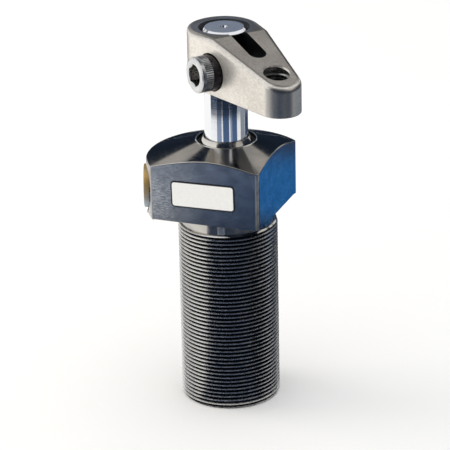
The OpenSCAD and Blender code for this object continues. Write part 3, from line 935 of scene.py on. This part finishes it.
margin = 0.1  # mm, so that a face on a limit passes


def onFlat(at, n):
    s = bodySizes
    front = n.y < -0.98 and at.y < -s["flat"] + margin
    right = n.x > 0.98 and at.x > s["flat"] - margin
    edge = n.x > 0.6 and n.y < -0.6 and at.x - at.y > 2 * s["flat"] - s["edge"] - margin
    return at.z > s["shoulder"] and (front or right or edge)


def onThread(at, n):
    return at.z < bodySizes["neckLow"] + 0.7 and at.xy.length > bodySizes["thread"] - 2.5


def onSide(at, n):
    return at.xy.length > bodySizes["head"] - 0.8 and abs(n.z) < 0.5


def onBead(at, n):
    return at.z > bodySizes["cone"] - 0.15


# the groove between the gland ring and the collar, painted dark as shade
def inCollar(at, n):
    return at.z > glandSizes["step"] - 1 and at.xy.length < bodySizes["collar"] - 0.5


# the gland ring's low step in the groove, painted dark as shade
def onGlandStep(at, n):
    return at.z < glandSizes["footTop"] and at.xy.length > glandSizes["foot"] - margin


def fromScrewAxis(at):
    return (at.xz - Vector((armSizes["screwAlong"], armSizes["screwHeight"]))).length


# the slot, the bore and the screw's recess, painted dark as shade
def inArm(at, n):
    s = armSizes
    slot = abs(at.y) < s["slot"] + margin and s["bore"] < at.x < s["slotEnd"] + margin and abs(n.z) < 0.3
    bore = at.xy.length < s["bore"] + s["flare"] + 0.05 and abs(n.z) < 0.9
    recess = at.y < -10 and abs(n.y) < 0.3 and abs(fromScrewAxis(at) - s["recess"]) < 0.3
    return slot or bore or recess


def inHole(at, n):
    s = armSizes
    return (at.xy - Vector((s["holeReach"], 0))).length < s["hole"] + margin and abs(n.z) < 0.9


# inside the socket, below its lead-in
def inSocket(at, n):
    s = screwSizes
    deep = at.y + s["faceOut"]
    corner = s["acrossFlats"] / math.sqrt(3)
    return fromScrewAxis(at) < corner + margin and s["lead"] + 0.02 < deep < s["socket"] + s["point"] + 0.4


def onKnurl(at, n):
    s = screwSizes
    return fromScrewAxis(at) > s["core"] - margin and at.y > s["edge"] - margin - s["faceOut"]


def onScrewBack(at, n):
    s = screwSizes
    return fromScrewAxis(at) > s["core"] - margin and at.y > s["headHigh"] - s["rear"] - 0.4 - s["faceOut"]


# a later finish goes over an earlier one
finishFaces(body, milled, onFlat)
finishFaces(body, sideTurned, onSide)
finishFaces(body, looks["bright_steel"], onBead)
finishFaces(body, threaded, onThread)
# the collar's groove, the gland ring's step and the arm's slot, bore and recess get painted shade
finishFaces(body, hollowShade, inCollar)
finishFaces(gland, hollowShade, onGlandStep)
finishFaces(arm, hollowShade, inArm, armSizes["turn"])
# the arm's level top, painted darker as shade
finishFaces(arm, faced, lambda at, n: n.z > 0.999, armSizes["turn"])
finishFaces(arm, tapped, inHole, armSizes["turn"])
finishFaces(screw, tapped, inSocket, armSizes["turn"])
finishFaces(screw, knurled, onKnurl, armSizes["turn"])
# the back of the screw's head, painted near black as shade
finishFaces(screw, screwBackShade, onScrewBack, armSizes["turn"])
finishFaces(label, darkBorder, lambda at, n: True)
biggest = max(label.data.polygons, key=lambda face: face.area if face.normal.y < -0.9 else 0)
biggest.material_index = 0  # the border, the rim and the sides stay dark
print("materials on")


# camera from the fitted view
view = {
    "eye": (433.3, -1151.71, 590.43), "target": (-1.5, -0.43, 92.21), "roll": -1.17, "lens": 207.62,
    "sensor": 36, "far": 50,
}
eye, target = Vector(view["eye"]) * mm, Vector(view["target"]) * mm
lens = bpy.data.cameras.new("camera")
lens.lens = view["lens"]
lens.sensor_width = view["sensor"]
lens.clip_end = view["far"]
camera = bpy.data.objects.new("camera", lens)
scene.collection.objects.link(camera)
aim = (eye - target).to_track_quat("Z", "Y").to_matrix().to_4x4()
camera.matrix_world = Matrix.Translation(eye) @ aim @ Matrix.Rotation(math.radians(view["roll"]), 4, "Z")
scene.camera = camera

# floor: a pale, dull sheet
restNow()
bpy.ops.mesh.primitive_plane_add(size=12)
floor = bpy.context.object
floor.name = "floor"
wear(floor, newLook("paleFloor", {
    "Base Color": linear("#fcfcfb"), "Roughness": 0.8, "Specular IOR Level": 0.2})[0])

# cards seen only in reflections: coloured sheets on the floor round the part, cards above and a dark shell
cameraTurn = math.degrees(math.atan2(eye.y, eye.x))
cardColours = {
    "night": "#1d2736", "slate": "#39455a", "steel": "#50688a", "pale": "#95a3ba", "blue": "#3682c8",
    "mist": "#8f959d", "light": "#c1bebb", "white": "#ffffff",
}
floorCards = [  # from and to in degrees round from the camera, near and far in metres, colour
    (-50, 44, 0.03, 0.255, "slate"), (44, 202, 0.03, 0.255, "night"),
    (-50, -24, 0.255, 0.285, "slate"), (-22, -10, 0.255, 0.285, "pale"), (-9, 100, 0.255, 0.285, "night"),
    (100, 180, 0.255, 0.362, "blue"), (-42.8, 0, 0.285, 0.362, "steel"), (0, 38, 0.285, 0.362, "mist"),
    (38, 60, 0.285, 0.362, "light"), (60, 100, 0.285, 0.362, "night"),
    (-48, -23, 0.362, 0.44, "pale"), (-16, 16, 0.362, 0.44, "steel"), (22, 32, 0.362, 0.44, "pale"),
    (32, 59, 0.362, 0.44, "steel"), (81, 114, 0.362, 0.44, "mist"), (116, 180, 0.362, 0.44, "slate"),
    (-84, -45, 0.44, 1.45, "slate"), (-45, 62, 0.44, 1.45, "night"), (62, 160, 0.44, 1.45, "mist"),
    (160, 222, 0.48, 1.45, "night"),
]
skyCards = [  # degrees round from the camera, degrees up, degrees wide and high, colour
    (-150, 35, 50, 18, "light"), (147, 48, 54, 16, "light"), (-163, 58, 7, 6, "mist"), (170, 61, 8, 6, "mist"),
    (180, 22.5, 13, 8, "pale"), (0, 67, 70, 18, "white"), (48, 63, 40, 16, "white"), (88, 50, 40, 16, "white"),
    (113, 38, 24, 14, "white"), (128, 26, 14, 12, "white"), (141, 12, 16, 14, "white"),
    (-146, 8, 24, 22, "white"), (-126, 24, 14, 12, "white"),
    (66, 35, 32, 18, "light"), (-136, 42, 24, 14, "slate"),
]
skyCentre = 0.14  # metres above the floor, the point that the sky cards face
cardLift = 1  # mm between the floor and its cards
shell = {"from": -50, "to": 220, "away": 1.5, "steps": 8, "colour": "night"}


def glow(name, colour):
    look = bpy.data.materials.new(name)
    look.use_nodes = True
    tree = look.node_tree
    tree.nodes.remove(tree.nodes["Principled BSDF"])
    light = addNode(tree, "ShaderNodeEmission", {"Color": linear(colour), "Strength": 1.0})
    plug(tree, tree.nodes["Material Output"], {"Surface": light})
    return look


def reflectOnly(card, colour):
    wear(card, glow(card.name, cardColours[colour]))
    card.visible_camera = card.visible_diffuse = card.visible_shadow = False


# spins a drawn profile from one bearing to another, both in degrees round from the camera
def sweepCard(card, low, high, steps, colour):
    spinAll(steps, -math.radians(high - low))
    restNow()
    placeAt(card, Matrix.Rotation(math.radians(cameraTurn + low), 4, "Z"))
    reflectOnly(card, colour)


def floorCard(low, high, near, far, colour):
    card = startPoint("floorCard", near / mm, cardLift)
    drawOn(far - near, 0)
    sweepCard(card, low, high, 12, colour)


# a flat card that faces the part
def skyCard(turn, up, wide, high, colour):
    restNow()
    bpy.ops.mesh.primitive_plane_add(size=2)
    card = bpy.context.object
    card.name = "skyCard"
    size = Matrix.Diagonal((math.tan(math.radians(high / 2)), math.tan(math.radians(wide / 2)), 1, 1))
    bearing = Matrix.Rotation(math.radians(cameraTurn + turn), 4, "Z")
    swing = bearing @ Matrix.Rotation(math.radians(90 - up), 4, "Y")
    placeAt(card, Matrix.Translation((0, 0, skyCentre)) @ swing @ Matrix.Translation((0, 0, 1)) @ size)
    reflectOnly(card, colour)


# a dark dome, open over one part of the round so that the white room shows there
def skyShell(s):
    card = startPoint("skyShell", s["away"] / mm, 0)
    for i in range(s["steps"]):
        low, high = (math.pi / 2 * k / s["steps"] for k in (i, i + 1))
        drawOn(s["away"] * (math.cos(high) - math.cos(low)), s["away"] * (math.sin(high) - math.sin(low)))
    sweepCard(card, s["from"], s["to"], 36, s["colour"])


for card in floorCards:
    floorCard(*card)
for card in skyCards:
    skyCard(*card)
skyShell(shell)

# soft box on the left, and a white room
softBox = {"turn": -105, "away": 1.2, "height": 0.75, "aim": 0.1, "size": 0.8, "power": 5.0, "colour": "#fff6ea"}
lamp = bpy.data.lights.new("softBox", "AREA")
lamp.energy = softBox["power"]
lamp.size = softBox["size"]
lamp.color = linear(softBox["colour"])[:3]
box = bpy.data.objects.new("softBox", lamp)
scene.collection.objects.link(box)
boxTurn = math.radians(cameraTurn + softBox["turn"])
spot = Vector((softBox["away"] * math.cos(boxTurn), softBox["away"] * math.sin(boxTurn), softBox["height"]))
box.visible_glossy = False  # metal shows the white room instead
boxAim = (spot - Vector((0, 0, softBox["aim"]))).to_track_quat("Z", "Y").to_matrix().to_4x4()
box.matrix_world = Matrix.Translation(spot) @ boxAim

room = {"white": 1.0, "fill": 0.98}
world = bpy.data.worlds.new("studio")
scene.world = world
world.use_nodes = True
tree = world.node_tree
path = addNode(tree, "ShaderNodeLightPath").outputs
seen = addNode(tree, "ShaderNodeMath", [path["Is Camera Ray"], path["Is Glossy Ray"]], operation="ADD")
seen = addNode(tree, "ShaderNodeMath", [seen, path["Is Transmission Ray"]], operation="ADD", use_clamp=True)
level = addNode(tree, "ShaderNodeMapRange", [seen, 0.0, 1.0, room["fill"], room["white"]])
plug(tree, tree.nodes["Background"], {"Color": (1, 1, 1, 1), "Strength": level})
print("light and cards set")
